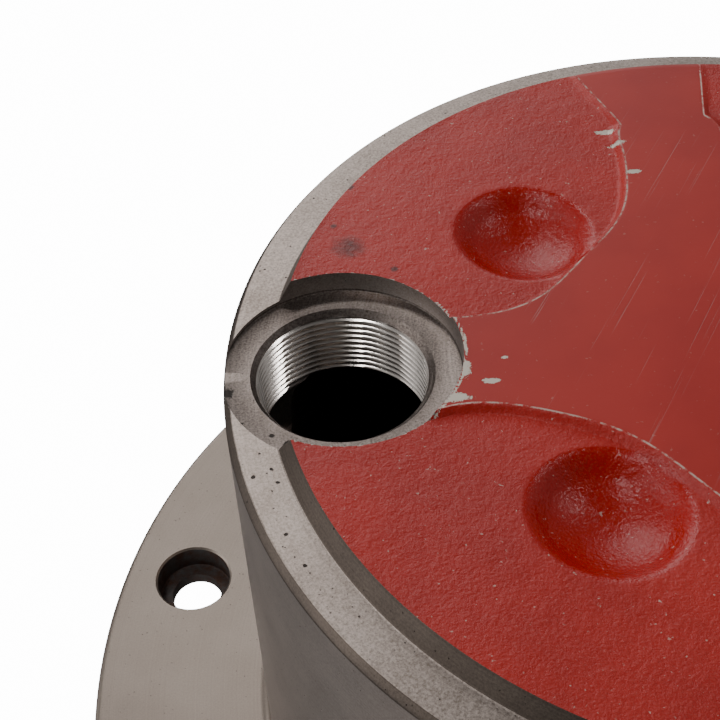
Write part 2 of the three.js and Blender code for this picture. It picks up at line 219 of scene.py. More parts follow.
def add(tree, kind, values=(), out=0, **settings):
    # adds one node and gives back one of its outputs; the values go to its inputs in order, or by name
    # or number when they are a dictionary, and a socket among them becomes a link
    node = tree.nodes.new("ShaderNode" + kind)
    for name, value in settings.items():
        setattr(node, name, value)
    for key, value in values.items() if isinstance(values, dict) else enumerate(values):
        if isinstance(value, bpy.types.NodeSocket):
            tree.links.new(value, node.inputs[key])
        else:
            node.inputs[key].default_value = value
    return node.outputs[out] if len(node.outputs) else node


def newMaterial(name):
    material = bpy.data.materials.new(name)
    material.use_nodes = True
    tree = material.node_tree
    tree.nodes.clear()
    place = add(tree, "VectorMath", {0: add(tree, "TexCoord", out="Object"), 3: 1 / mm}, operation="SCALE")
    return material, tree, place      # place is the point on the object in millimetres


# the patterns of each finish: width of one lump in millimetres, detail and roughness of the noise
ironPatterns = {"cloud": (14.0, 4.0, 0.6), "grain": (0.45, 2.0, 0.7), "poreField": (5.0, 2.0, 0.6),
                "ragged": (0.9, 3.0, 0.7)}
ironMarks = {"ringSpacing": 0.5, "poreSpacing": 1.6, "grainDepth": 0.018, "poreDepth": 0.12,
             "poreColour": "#1d1917"}


def turnedIron(name, colours, roughness, marks, pores=0.5, speckle=0.5, pits=()):
    # Grey cast iron, turned: graphite makes it a warm grey, the tool leaves faint rings, and small
    # pores stay open as dark specks. The rings are drawn 0.5 mm apart, coarser than the real feed.
    material, tree, place = newMaterial(name)
    cloud, grain, field, ragged = (
        add(tree, "TexNoise", {"Vector": place, "Scale": 1 / size, "Detail": detail, "Roughness": rough})
        for size, detail, rough in ironPatterns.values())
    level = add(tree, "VectorMath", [place, (1, 1, 0)], operation="MULTIPLY")
    radius = add(tree, "VectorMath", [level], out="Value", operation="LENGTH")
    across = add(tree, "CombineXYZ", [radius, 0.0, add(tree, "SeparateXYZ", [place], out=2)])
    rings = add(tree, "TexNoise", {"Vector": across, "Scale": 1 / ironMarks["ringSpacing"], "Detail": 2.0,
                                   "Roughness": 0.6})

    # pores open where the field is high, and each pit has a ragged rim
    cells = add(tree, "TexVoronoi", {"Vector": place, "Scale": 1 / ironMarks["poreSpacing"],
                                     "Randomness": 1.0}, out="Distance")
    poreSize = add(tree, "MapRange", [field, 0.5, 0.75, 0.02, 0.02 + 0.16 * pores])
    pore = add(tree, "Math", [cells, poreSize], operation="SUBTRACT")
    pore = add(tree, "MapRange", [pore, 0.0, 0.07, 1.0, 0.0])
    for x, y, size in pits:
        away = add(tree, "VectorMath", [level, (x, y, 0.0)], out="Value", operation="DISTANCE")
        away = add(tree, "Math", [away, size], operation="DIVIDE")
        away = add(tree, "Math", [ragged, 1.6, away], operation="MULTIPLY_ADD")
        pit = add(tree, "MapRange", [away, 1.5, 1.8, 1.0, 0.0])
        pore = add(tree, "Math", [pore, pit], operation="MAXIMUM")

    tone = add(tree, "Math", [grain, speckle, -0.5 * speckle], operation="MULTIPLY_ADD")
    tone = add(tree, "Math", [cloud, 0.3, tone], operation="MULTIPLY_ADD")
    tone = add(tree, "Math", [rings, 0.3, tone], operation="MULTIPLY_ADD")
    tone = add(tree, "MapRange", [tone, 0.14, 0.46])
    base = add(tree, "Mix", {0: tone, 6: linear(colours[0]), 7: linear(colours[1])}, out=2, data_type="RGBA")
    dark = add(tree, "Math", [pore, 0.85], operation="MULTIPLY")
    base = add(tree, "Mix", {0: dark, 6: base, 7: linear(ironMarks["poreColour"])}, out=2, data_type="RGBA")

    rough = add(tree, "Math", [grain, 0.3 * speckle, roughness - 0.15 * speckle], operation="MULTIPLY_ADD")
    rough = add(tree, "Math", [pore, 0.25, rough], operation="MULTIPLY_ADD", use_clamp=True)
    height = add(tree, "Math", [rings, marks], operation="MULTIPLY")
    height = add(tree, "Math", [grain, ironMarks["grainDepth"] * speckle, height], operation="MULTIPLY_ADD")
    height = add(tree, "Math", [pore, -ironMarks["poreDepth"], height], operation="MULTIPLY_ADD")
    bump = add(tree, "Bump", {"Height": height, "Distance": mm, "Strength": 1.0})
    shader = add(tree, "BsdfPrincipled", {"Base Color": base, "Metallic": 0.85, "Roughness": rough,
                                          "Normal": bump})
    add(tree, "OutputMaterial", {"Surface": shader})
    return material


paintPatterns = {"lump": (0.95, 2.0, 0.55), "fine": (0.42, 2.0, 0.6), "wide": (22.0, 3.0, 0.55),
                 "wear": (2.2, 4.0, 0.7), "speck": (0.9, 2.0, 0.5)}
paint = {
    "pocket": ("#8f140d", "#9c1b13"),
    "land": ("#8e1811", "#982017"),
    "bowl": "#920e07",
    "dust": "#a8463a",
    "scratch": "#8a7470",
    "bareIron": "#b5aca0",
    "soot": "#2c1512",
    "roughness": 0.42,
    "scratchAngle": -60,
    # the scratches, then the bundles they lie in: squeeze along X and Y, and where each one starts to show
    "scratches": (((0.02, 2.2, 1.0), 0.66, 0.72), ((0.03, 0.12, 1.0), 0.5, 0.62)),
    # depth of the relief in millimetres: in the pockets and on the lands
    "peel": (0.17, 0.02),
    "sand": (0.09, 0.01),
    "scratchDepth": 0.03,
    "chipDepth": 0.1,
}


def paintedCasting(name):
    # Red enamel over a sand casting: orange-peel gloss in the pockets, rubbed dull on the lands,
    # thick and glossy where it pooled in the dimples, and worn to bare iron along raised edges.
    material, tree, place = newMaterial(name)
    edge, bowl, chips, soot = (add(tree, "Attribute", out="Fac", attribute_name=layer)
                               for layer in ("pocketEdge", "bowl", "chips", "soot"))
    lump, fine, wide, wear, speck = (
        add(tree, "TexNoise", {"Vector": place, "Scale": 1 / size, "Detail": detail, "Roughness": rough})
        for size, detail, rough in paintPatterns.values())
    land = add(tree, "MapRange", [edge, -0.25, 0.15, 1.0, 0.0])
    inBowl = add(tree, "MapRange", [bowl, 0.0, 0.5])

    fade = add(tree, "MapRange", [wide, 0.35, 0.65])
    pocketRed, landRed = (
        add(tree, "Mix", {0: fade, 6: linear(deep), 7: linear(pale)}, out=2, data_type="RGBA")
        for deep, pale in (paint["pocket"], paint["land"]))
    red = add(tree, "Mix", {0: land, 6: pocketRed, 7: landRed}, out=2, data_type="RGBA")
    red = add(tree, "Mix", {0: inBowl, 6: red, 7: linear(paint["bowl"])}, out=2, data_type="RGBA")
    dust = add(tree, "MapRange", [fine, 0.5, 0.72, 0.0, 0.3])
    offLand = add(tree, "Math", [1.0, land], operation="SUBTRACT")
    dust = add(tree, "Math", [dust, offLand], operation="MULTIPLY")
    red = add(tree, "Mix", {0: dust, 6: red, 7: linear(paint["dust"])}, out=2, data_type="RGBA")

    # scratches run across the lands at a slant, in long thin bundles
    slant = add(tree, "VectorRotate", {"Vector": place, "Angle": math.radians(paint["scratchAngle"])},
                rotation_type="Z_AXIS")
    streaks = []
    for squeeze, low, high in paint["scratches"]:
        drawn = add(tree, "VectorMath", [slant, squeeze], operation="MULTIPLY")
        drawn = add(tree, "TexNoise", {"Vector": drawn, "Scale": 1.0, "Detail": 2.0, "Roughness": 0.5})
        streaks.append(add(tree, "MapRange", [drawn, low, high]))
    scratch = add(tree, "Math", streaks, operation="MULTIPLY")
    scratch = add(tree, "Math", [scratch, land], operation="MULTIPLY")
    faint = add(tree, "Math", [scratch, 0.4], operation="MULTIPLY")
    red = add(tree, "Mix", {0: faint, 6: red, 7: linear(paint["scratch"])}, out=2, data_type="RGBA")

    # bare iron: a broken line on the pocket edges, the chips, and specks off the lands
    line = add(tree, "Math", [edge, 0.12], operation="ADD")
    line = add(tree, "Math", [line], operation="ABSOLUTE")
    line = add(tree, "MapRange", [line, 0.06, 0.26, 1.0, 0.0])
    line = add(tree, "Math", [line, add(tree, "MapRange", [wear, 0.42, 0.55])], operation="MULTIPLY")
    line = add(tree, "Math", [line, 0.75], operation="MULTIPLY")
    flake = add(tree, "Math", [wear, 0.75], operation="MULTIPLY")
    flake = add(tree, "Math", [fine, 0.55, flake], operation="MULTIPLY_ADD")
    flake = add(tree, "Math", [chips, flake], operation="ADD")
    chip = add(tree, "MapRange", [flake, 1.12, 1.18])
    speck = add(tree, "MapRange", [speck, 0.69, 0.73])
    speck = add(tree, "Math", [speck, add(tree, "MapRange", [wear, 0.44, 0.56])], operation="MULTIPLY")
    fewer = add(tree, "Math", [land, -0.75, 1.0], operation="MULTIPLY_ADD")
    speck = add(tree, "Math", [speck, fewer], operation="MULTIPLY")
    speck = add(tree, "Math", [speck, 0.55], operation="MULTIPLY")
    bare = add(tree, "Math", [line, chip], operation="MAXIMUM")
    bare = add(tree, "Math", [bare, speck], operation="MAXIMUM")
    colour = add(tree, "Mix", {0: bare, 6: red, 7: linear(paint["bareIron"])}, out=2, data_type="RGBA")

    stain = add(tree, "Math", [soot, 0.8], operation="MULTIPLY")
    stain = add(tree, "Math", [wear, 0.5, stain], operation="MULTIPLY_ADD")
    stain = add(tree, "MapRange", [stain, 0.48, 0.8])
    stain = add(tree, "Math", [stain, add(tree, "MapRange", [soot, 0.15, 0.4])], operation="MULTIPLY")
    stain = add(tree, "Math", [stain, 0.8], operation="MULTIPLY")
    colour = add(tree, "Mix", {0: stain, 6: colour, 7: linear(paint["soot"])}, out=2, data_type="RGBA")

    rough = add(tree, "Math", [land, 0.06, paint["roughness"]], operation="MULTIPLY_ADD")
    rough = add(tree, "Math", [inBowl, -0.22, rough], operation="MULTIPLY_ADD")
    rough = add(tree, "Math", [bare, 0.1, rough], operation="MULTIPLY_ADD", use_clamp=True)
    peel = add(tree, "Math", [lump, add(tree, "MapRange", [land, 0.0, 1.0, *paint["peel"]])],
               operation="MULTIPLY")
    sand = add(tree, "MapRange", [land, 0.0, 1.0, *paint["sand"]])
    height = add(tree, "Math", [fine, sand, peel], operation="MULTIPLY_ADD")
    height = add(tree, "Math", [scratch, -paint["scratchDepth"], height], operation="MULTIPLY_ADD")
    height = add(tree, "Math", [chip, -paint["chipDepth"], height], operation="MULTIPLY_ADD")
    bump = add(tree, "Bump", {"Height": height, "Distance": mm, "Strength": 1.0})
    iron = add(tree, "Math", [chip, 0.5], operation="MULTIPLY")
    shader = add(tree, "BsdfPrincipled", {"Base Color": colour, "Roughness": rough, "Metallic": iron,
                                          "IOR": 1.5, "Specular IOR Level": 0.3, "Normal": bump})
    add(tree, "OutputMaterial", {"Surface": shader})
    return material


rustPatterns = {"patch": (3.0, 5.0, 0.65), "fine": (0.5, 3.0, 0.6)}
rust = {"iron": "#4c4745", "bloom": "#4a2f22", "dirt": "#2a201b", "patchDepth": 0.08, "fineDepth": 0.05}


def rustyFloor(name):
    # Grey iron that coolant has stained: dark grey with brown rust blooming in the corners.
    material, tree, place = newMaterial(name)
    patch, fine = (
        add(tree, "TexNoise", {"Vector": place, "Scale": 1 / size, "Detail": detail, "Roughness": rough})
        for size, detail, rough in rustPatterns.values())
    bloom = add(tree, "MapRange", [patch, 0.4, 0.62])
    dirt = add(tree, "MapRange", [fine, 0.5, 0.75, 0.0, 0.5])
    colour = add(tree, "Mix", {0: bloom, 6: linear(rust["iron"]), 7: linear(rust["bloom"])}, out=2,
                 data_type="RGBA")
    colour = add(tree, "Mix", {0: dirt, 6: colour, 7: linear(rust["dirt"])}, out=2, data_type="RGBA")
    height = add(tree, "Math", [patch, rust["patchDepth"]], operation="MULTIPLY")
    height = add(tree, "Math", [fine, rust["fineDepth"], height], operation="MULTIPLY_ADD")
    bump = add(tree, "Bump", {"Height": height, "Distance": mm, "Strength": 1.0})
    shader = add(tree, "BsdfPrincipled", {"Base Color": colour, "Metallic": 0.4, "Roughness": 0.6,
                                          "Normal": bump})
    add(tree, "OutputMaterial", {"Surface": shader})
    return material


finePatterns = {"cloud": (9.0, 4.0, 0.6), "grain": (0.4, 2.0, 0.6)}
fineMarks = {"stretch": (1.0, 0.06, 1.0), "grainDepth": 0.004}


def fineLined(name, colours, roughness, metallic, lineSpacing, lineHeight, oil=0.0):
    # Ground, turned or moulded: an even body colour, a soft cloud from handling, and fine tool or mould
    # lines along Y that catch the light, drawn coarser than the real ones so that they show.
    material, tree, place = newMaterial(name)
    cloud, grain = (
        add(tree, "TexNoise", {"Vector": place, "Scale": 1 / size, "Detail": detail, "Roughness": rough})
        for size, detail, rough in finePatterns.values())
    drawn = add(tree, "VectorMath", [place, fineMarks["stretch"]], operation="MULTIPLY")
    lines = add(tree, "TexNoise", {"Vector": drawn, "Scale": 1 / lineSpacing, "Detail": 2.0,
                                   "Roughness": 0.5})
    tone = add(tree, "Math", [lines, 0.7], operation="MULTIPLY")
    tone = add(tree, "Math", [cloud, 0.3, tone], operation="MULTIPLY_ADD")
    tone = add(tree, "MapRange", [tone, 0.36, 0.64])
    base = add(tree, "Mix", {0: tone, 6: linear(colours[0]), 7: linear(colours[1])}, out=2, data_type="RGBA")
    rough = add(tree, "Math", [cloud, 0.12, roughness - 0.06], operation="MULTIPLY_ADD")
    rough = add(tree, "Math", [grain, 0.1 - oil, rough], operation="MULTIPLY_ADD", use_clamp=True)
    height = add(tree, "Math", [grain, fineMarks["grainDepth"]], operation="MULTIPLY")
    height = add(tree, "Math", [lines, lineHeight, height], operation="MULTIPLY_ADD")
    bump = add(tree, "Bump", {"Height": height, "Distance": mm, "Strength": 1.0})
    shader = add(tree, "BsdfPrincipled", {"Base Color": base, "Metallic": metallic, "Roughness": rough,
                                          "Normal": bump})
    add(tree, "OutputMaterial", {"Surface": shader})
    return material


# open pores and knocks in the machined iron near the port: x, y and radius
pitSpots = ((-104.2, -4.3, 1.5), (-92.0, -18.6, 1.1), (-98.4, -27.0, 0.45), (-95.1, -25.3, 0.4),
            (-93.8, -28.5, 0.4), (-95.2, -15.9, 0.5), (-92.3, -40.5, 0.4), (-101.0, -12.5, 0.35),
            (-89.0, -47.5, 0.4))

print("materials")
redPaint = paintedCasting("red enamel on sand-cast iron")
rustyIron = rustyFloor("rust-stained iron")
# the iron by where it is: the ring is pale and full of pores, the walls show the turning, the flange is even,
# the spot face is dark, the shoulders are dark iron with painted shade in the colour, and the thread is
# bright because its flanks were cut last
ironRing = turnedIron("fine turned grey iron", ("#6e635b", "#a1958d"), 0.4, 0.004, 0.8, 0.8, pitSpots)
ironWall = turnedIron("rough turned grey iron", ("#7d726c", "#a99e97"), 0.42, 0.012, 0.4)
ironFlange = turnedIron("smooth turned grey iron", ("#786d64", "#897e75"), 0.4, 0.003, 0.15)
ironDark = turnedIron("dark spot-faced iron", ("#453c37", "#786e68"), 0.34, 0.01, 0.3, 0.7, pitSpots)
ironThread = turnedIron("bright tapped thread", ("#b3aaa3", "#dbd3cc"), 0.2, 0.0, 0.1, 0.06)
ironInside = turnedIron("honed cylinder iron", ("#58514e", "#6f6763"), 0.5, 0.01, 0.2)
# painted shade: a darker, rougher-turned iron for the shoulder and the rim chamfer, and much of its darkness
# is shade painted into the colour
darkWallPaintedShade = turnedIron("dark shoulder iron with painted shade", ("#3a322d", "#5c524a"), 0.5, 0.02, 0.6)
machinedIron = turnedIron("fine machined grey iron", ("#6a6663", "#8d8986"), 0.38, 0.005, 0.3)
# ground and turned steel shine in soft streaks, black oxide is a deep satin black under its oil film,
# bronze is a dull gold, rubber is matt and nearly black, and the wear tape is a matt green
groundSteel = fineLined("ground hardened steel", ("#7c7b79", "#a3a2a0"), 0.3, 1.0, 0.5, 0.006)
brightSteel = fineLined("bright turned steel", ("#9c9b99", "#c0bfbd"), 0.28, 1.0, 0.6, 0.005)
blackOxide = fineLined("oiled black-oxide steel", ("#121214", "#232326"), 0.38, 0.6, 0.8, 0.003, 0.04)
bronze = fineLined("turned bearing bronze", ("#9a7338", "#b98e4c"), 0.35, 1.0, 0.5, 0.005)
nitrile = fineLined("moulded nitrile rubber", ("#0c0c0c", "#191919"), 0.62, 0.0, 2.0, 0.003)
wearTape = fineLined("bronze-filled PTFE tape", ("#3e5a43", "#55715a"), 0.5, 0.0, 1.2, 0.004)


# Rear housing

housingLow, housingHigh = nodeBox("rear_housing")

housing = {
    "hubRadius": 105.0,
    "rimChamfer": 1.3,
    "ringHeight": 127.0,      # rear ring above the jaw side of the flange
    "ringInner": 96.0,
    "coreRadius": 93.8,       # as-cast face inside the ring
    "coreHeight": 4.15,
    "coreEdge": 1.2,
    "landHeight": 0.6,
    "landWear": 0.25,         # rubbed off the top of the lands
    "flangeThickness": 12.0,
    "registerRadius": 114.4,  # shallow recess that locates the chuck body
    "registerDepth": 1.0,
    "registerChamfer": 0.4,
    "hubFillet": 2.5,
    "filletSteps": 5,
    "cylinderRadius": 94.0,
    "endWallHeight": 109.0,
    "mouthRadius": 86.2,
    "mouthDepth": 25.0,
    "mouthChamfer": 0.5,
    "cylinderCorner": 4.0,
    "sides": 720,
    "ringStep": 0.55,
}

# rounded edges of the turned profile: steps out and up from each sharp corner; close pairs of rings
# keep the shading of each edge narrow
rounding = {
    "lip": ((-0.3, 0.6), (0.0, 0.15), (0.25, 0.0), (0.5, 0.0)),
    "rimTop": ((-0.35, 0.0), (-0.1, 0.0), (0.1, -0.12), (0.3, -0.32)),
    "rimFoot": ((-0.25, 0.0), (-0.1, -0.2), (0.0, -0.45), (0.0, -0.8)),
    "flangeTop": ((-1.6, 0.0), (-1.2, 0.0), (-0.9, -0.1), (-0.1, -0.9), (0.0, -1.2)),
    "flangeBottom": ((0.0, 1.2), (-0.1, 0.9), (-0.9, 0.1), (-1.2, 0.0)),
}

flangeBottom = housingLow[2]
flangeRadius = housingHigh[0]
flangeTop = flangeBottom + housing["flangeThickness"]
registerZ = flangeBottom + housing["registerDepth"]
ringZ = flangeBottom + housing["ringHeight"]
coreZ = ringZ + housing["coreHeight"]
landZ = coreZ + housing["landHeight"]
endWallZ = flangeBottom + housing["endWallHeight"]
past = 1.0                    # how far a cutting tool runs past the surface


def smooth(value, low, high):
    t = np.clip((value - low) / (high - low), 0, 1)
    return t * t * (3 - 2 * t)


def waves(x, y, size, seed, amount):
    # a few crossed sine waves with seeded directions: a soft cast unevenness
    rng = np.random.default_rng(seed)
    total = np.zeros_like(x)
    for _ in range(7):
        angle, phase = rng.uniform(0, 2 * math.pi, 2)
        length = size * rng.uniform(0.7, 1.5)
        total += np.sin((x * math.cos(angle) + y * math.sin(angle)) * 2 * math.pi / length + phase)
    return amount * total / 7


pocket = {
    "firstAngle": 49.0,
    "distance": 86.5,
    "radius": 49.0,
    "wave": 0.9,              # the hand-made pattern isn't a true circle
    "wallWidth": 1.5,
    "innerDepth": 1.7,        # floor below the core edge, at the pocket's inner end
    "innerReach": 38.0,
    "mouthAngle": 35.3,       # half angle of the pocket where it opens to the ring
    "mouthRadius": 74.0,
    "blend": 10.0,            # how softly the circle runs into the mouth
}


def pocketDistance(x, y):
    # distance in from the nearest pocket's outline, negative on the lands
    best = np.full_like(x, -1e3)
    for k, turn in enumerate(quarters):
        angle = math.radians(pocket["firstAngle"] + turn)
        dx = x - pocket["distance"] * math.cos(angle)
        dy = y - pocket["distance"] * math.sin(angle)
        bearing = np.arctan2(dy, dx) - angle
        wave = pocket["wave"] * (np.sin(5 * bearing + k) + 0.6 * np.sin(9 * bearing + 2 * k))
        circle = pocket["radius"] + wave - np.hypot(dx, dy)
        radius = np.hypot(x, y)
        aside = np.abs((np.arctan2(y, x) - angle + math.pi) % (2 * math.pi) - math.pi)
        mouth = radius * np.sin(np.clip(math.radians(pocket["mouthAngle"]) - aside, -1.5, 1.5))
        mouth = np.minimum(mouth, radius - pocket["mouthRadius"])
        blend = np.maximum(pocket["blend"] - np.abs(circle - mouth), 0)
        best = np.maximum(best, np.maximum(circle, mouth) + blend ** 2 / (4 * pocket["blend"]))
    return best


dimple = {"distance": 54.0, "radius": 15.6, "depth": 6.3, "rim": 5.28, "turn": 0.6}


def bowlDistance(x, y):
    # distance in from the nearest dimple's rim
    best = np.full_like(x, -1e3)
    for turn in quarters:
        angle = math.radians(pocket["firstAngle"] + dimple["turn"] + turn)
        dx = x - dimple["distance"] * math.cos(angle)
        dy = y - dimple["distance"] * math.sin(angle)
        best = np.maximum(best, dimple["radius"] - np.hypot(dx, dy))
    return best


# how uneven the sand left the casting: wave length, seed and height
castWaves = {"floor": (30, 3, 0.25), "skin": (4.5, 5, 0.05), "land": (60, 8, 0.05)}


def rearFace(x, y):
    # height of the painted face: lands, pockets and dimples, running down to the ring at the edge
    radius, core = np.hypot(x, y), housing["coreRadius"]
    inside = pocketDistance(x, y)
    reach = np.clip((core - radius) / (core - pocket["innerReach"]), 0, 1.2)
    floor = coreZ - pocket["innerDepth"] * reach
    floor = floor + waves(x, y, *castWaves["floor"]) + waves(x, y, *castWaves["skin"])
    land = landZ + waves(x, y, *castWaves["land"]) - housing["landWear"]
    height = land + (floor - land) * smooth(inside, 0.0, pocket["wallWidth"])
    bowl = bowlDistance(x, y)
    depth = dimple["depth"] * (1 - np.clip(1 - bowl / dimple["radius"], 0, 1) ** 2)
    height = height - np.where(bowl > 0, depth * smooth(bowl, 0, dimple["rim"]) ** 0.5, 0)
    edgeDrop = smooth(radius, core - housing["coreEdge"], core)
    return np.minimum(height + (coreZ - height) * edgeDrop, housingHigh[2] - 0.02)


def housingShell():
    sides = housing["sides"]
    turn = np.arange(sides) * 2 * math.pi / sides
    rings = [(0, float(rearFace(np.zeros(1), np.zeros(1))[0]))]
    count = int(housing["coreRadius"] / housing["ringStep"])
    for i in range(1, count + 1):
        r = housing["coreRadius"] * i / count
        rings.append((r, rearFace(r * np.cos(turn), r * np.sin(turn))))
    rim, chamfer, fillet = housing["hubRadius"], housing["rimChamfer"], housing["hubFillet"]
    for corner, radius, height in (("lip", housing["ringInner"], ringZ), ("rimTop", rim - chamfer, ringZ),
                                   ("rimFoot", rim, ringZ - chamfer)):
        rings += [(radius + out, height + up) for out, up in rounding[corner]]
    rings += [(rim, z) for z in np.linspace(ringZ - 20, flangeTop + fillet + 0.1, 6)]
    for step in range(1, housing["filletSteps"] + 1):
        angle = math.radians(90 * step / housing["filletSteps"])
        rings.append((rim + fillet - fillet * math.cos(angle), flangeTop + fillet - fillet * math.sin(angle)))
    rings.append((rim + fillet + 0.5, flangeTop))
    for corner, height in (("flangeTop", flangeTop), ("flangeBottom", flangeBottom)):
        rings += [(flangeRadius + out, height + up) for out, up in rounding[corner]]
    register, lead = housing["registerRadius"], housing["registerChamfer"]
    mouth, mouthEdge = housing["mouthRadius"], housing["mouthChamfer"]
    mouthTop = flangeBottom + housing["mouthDepth"]
    bore, corner = housing["cylinderRadius"], housing["cylinderCorner"]
    rings += [(register + lead, flangeBottom), (register, flangeBottom + lead), (register, registerZ),
              (mouth + mouthEdge, registerZ), (mouth, registerZ + mouthEdge), (mouth, mouthTop),
              (bore, mouthTop), (bore, endWallZ - corner), (bore - 0.3 * corner, endWallZ - 0.3 * corner),
              (bore - corner, endWallZ), (0, endWallZ)]
    return meshObject("rear_housing_casting", *revolve(rings, sides))


port = {
    "distance": 81.2,
    "minorRadius": 17.1,
    "threadDepth": 0.85,
    "pitch": 1.5,
    "faceRadius": 24.0,
    "faceDepth": 1.2,
    "chamferRadius": 18.5,
    "drillDepth": 28.0,
    "faceFillet": 0.5,
    "sides": 160,
}


def portTool():
    # the drilled hole, the helical thread, its chamfer and the spot face
    faceZ, top = ringZ - port["faceDepth"], landZ + 4 * past
    sides, low, depth = port["sides"], port["minorRadius"], port["threadDepth"]
    rings = [(0, faceZ - port["drillDepth"]), (low, faceZ - port["drillDepth"]), (low, endWallZ - 0.6)]
    for radius, z in threadRings(low, depth, port["pitch"], endWallZ - 0.4, faceZ - 0.02, sides):
        rings.append((np.maximum(radius, port["chamferRadius"] - (faceZ - z)), z))
    wide, fillet = port["faceRadius"], port["faceFillet"]
    rings += [(port["chamferRadius"], faceZ), (wide - fillet, faceZ),
              (wide - 0.3 * fillet, faceZ + 0.3 * fillet), (wide, faceZ + fillet), (wide, top), (0, top)]
    return revolve(rings, sides, at=(-port["distance"], 0.0))


flangeBolt = {"count": 12, "circle": 131.0, "hole": 6.75, "head": 10.0, "headDepth": 7.8, "chamfer": 0.5,
              "seatFillet": 0.4}


def boltTool(x, y):
    hole, head, chamfer = flangeBolt["hole"], flangeBolt["head"], flangeBolt["chamfer"]
    seat, fillet = flangeTop - flangeBolt["headDepth"], flangeBolt["seatFillet"]
    low, high = flangeBottom - past, flangeTop + past
    rings = [(0, low), (hole + chamfer, low), (hole + chamfer, flangeBottom), (hole, flangeBottom + chamfer),
             (hole, seat), (head - fillet, seat), (head, seat + fillet), (head, flangeTop - chamfer),
             (head + chamfer, flangeTop), (head + chamfer, high), (0, high)]
    return revolve(rings, 64, at=(x, y))


bodyScrew = {"circle": 98.0, "tapRadius": 5.3, "tapDepth": 21.0, "tapLead": 0.6, "drillPoint": 2.5,
             "angles": (30, 60)}


def tapTool(x, y):
    r, depth, lead = bodyScrew["tapRadius"], bodyScrew["tapDepth"], bodyScrew["tapLead"]
    low, end = registerZ - past, registerZ + depth
    rings = [(0, low), (r + lead, low), (r + lead, registerZ), (r, registerZ + lead), (r, end),
             (0, end + bodyScrew["drillPoint"])]
    return revolve(rings, 32, at=(x, y))


sidePort = {"height": 30.0, "hole": 6.8, "face": 12.0, "faceDepth": 2.0, "drillPast": 6.0}


def sideTool():
    start, end = housing["cylinderRadius"] - sidePort["drillPast"], housing["hubRadius"] + 2 * past
    seat = housing["hubRadius"] - sidePort["faceDepth"]
    rings = [(0, start), (sidePort["hole"], start), (sidePort["hole"], seat), (sidePort["face"], seat),
             (sidePort["face"], end), (0, end)]
    shift = Matrix.Translation((0, 0, flangeBottom + sidePort["height"]))
    return turnedAbout(revolve(rings, 64), shift @ Matrix.Rotation(math.radians(90), 4, "Y"))


def boltPlaces():
    for i in range(flangeBolt["count"]):
        angle = (i + 0.5) * 2 * math.pi / flangeBolt["count"]
        yield flangeBolt["circle"] * math.cos(angle), flangeBolt["circle"] * math.sin(angle)


def around(circle, angles):
    # points on a circle, at the same angles in each quarter
    for turn in quarters:
        for angle in angles:
            a = math.radians(turn + angle)
            yield circle * math.cos(a), circle * math.sin(a)


# worn places of the paint: angle about the axis, radius, reach along and across, strength
chipSpots = (
    (192.4, 63.0, 5.5, 1.5, 0.9), (190.4, 53.4, 2.6, 0.9, 0.9), (105.3, 54.2, 2.4, 1.0, 0.9),
    (104.9, 71.0, 3.5, 1.4, 0.75), (104.4, 65.5, 3.0, 1.2, 0.7), (186.0, 57.5, 1.6, 4.5, 0.6),
    (178.0, 57.0, 1.2, 5.0, 0.55), (184.2, 49.6, 1.2, 0.6, 0.8), (12.0, 60.0, 3.0, 1.2, 0.9),
    (281.0, 66.0, 4.0, 1.4, 0.85), (350.0, 40.0, 2.4, 1.0, 0.85), (75.0, 80.0, 3.2, 1.2, 0.8),
)

# soot and ink on the paint: x, y, radius and strength
sootSpots = ((-79.0, 32.0, 5.0, 0.62), (-78.0, 52.0, 1.1, 0.95), (-69.5, 24.6, 0.9, 1.0),
             (-82.0, 39.0, 0.9, 0.9), (40.0, -71.0, 4.0, 0.55), (62.0, 38.0, 3.4, 0.5))


# paint torn by the spot-facing tool along the inner side of its circle
tornPaint = {"out": 0.4, "width": 0.5, "strength": 0.66, "turn": 0.1}


def sootMap(x, y):
    total = np.zeros_like(x)
    for cx, cy, radius, strength in sootSpots:
        total = np.maximum(total, strength * np.exp(-((x - cx) ** 2 + (y - cy) ** 2) / radius ** 2))
    return total


def chipMap(x, y):
    total = np.zeros_like(x)
    for angle, radius, along, across, strength in chipSpots:
        a = math.radians(angle)
        dx, dy = x - radius * math.cos(a), y - radius * math.sin(a)
        total = np.maximum(total, strength * np.exp(-((dx / along) ** 2 + (dy / across) ** 2)))
    px, py = x + port["distance"], y
    fromRim = np.hypot(px, py) - port["faceRadius"] - tornPaint["out"]
    torn = np.exp(-(fromRim / tornPaint["width"]) ** 2)
    side = np.clip(np.cos(np.arctan2(py, px) + tornPaint["turn"]) * 2 - 0.7, 0, 1)
    return np.maximum(total, tornPaint["strength"] * torn * side)


